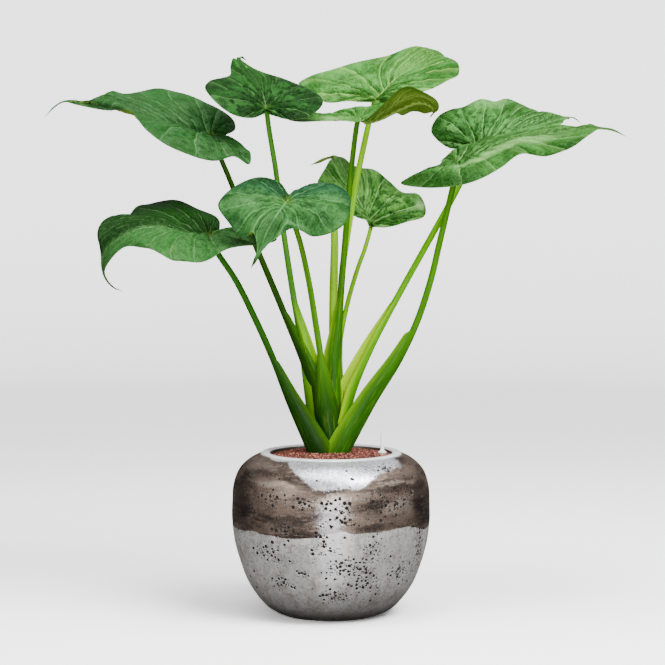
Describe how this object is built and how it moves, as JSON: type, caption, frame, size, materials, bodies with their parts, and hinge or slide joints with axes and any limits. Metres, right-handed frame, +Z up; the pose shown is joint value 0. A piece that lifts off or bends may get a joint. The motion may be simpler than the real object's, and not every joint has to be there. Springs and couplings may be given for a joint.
{
  "type": "potted hooded dwarf elephant ear plant",
  "caption": "Broad heart-leaved aroid house plant on arching stalks, growing in clay granulate in a globe-shaped cast metal planter with a float water gauge.",
  "frame": {"origin": "middle of the planter's underside, where it stands on the floor", "axes": "+Z up, -Y towards the viewer of the plant's front, +X to the viewer's right"},
  "size_m": [0.9976, 0.4948, 0.9935],
  "materials": {
    "cast_metal": "cast, pitted and burnished, silver with brown patina",
    "clay": "matt broken grains",
    "corm": "matt",
    "stem": "smooth, waxy satin",
    "leaf": "veined, satin",
    "clear_plastic": "translucent, glossy",
    "float_plastic": "matt"
  },
  "bodies": {
    "planter": {"planter": "cast_metal", "granulate": "clay", "rootstock": "corm", "gauge_housing": "clear_plastic", "rolled_leaf": "stem", "petiole_low_left": "stem", "blade_low_left": "leaf", "petiole_right_front": "stem", "blade_right_front": "leaf", "petiole_front": "stem", "blade_front": "leaf", "petiole_upper_left": "stem", "blade_upper_left": "leaf", "petiole_right_back": "stem", "blade_right_back": "leaf", "petiole_top_left": "stem", "blade_top_left": "leaf", "petiole_top_right": "stem", "blade_top_right": "leaf", "petiole_middle": "stem", "blade_middle": "leaf", "petiole_top_low": "stem", "blade_top_low": "leaf"},
    "gauge_float": {"gauge_float": "float_plastic"}
  },
  "joints": [
    {"name": "float_slide", "type": "slide", "parent": "planter", "child": "gauge_float", "axis": [0, 0, 1], "range_m": [0, 0.03]}
  ]
}
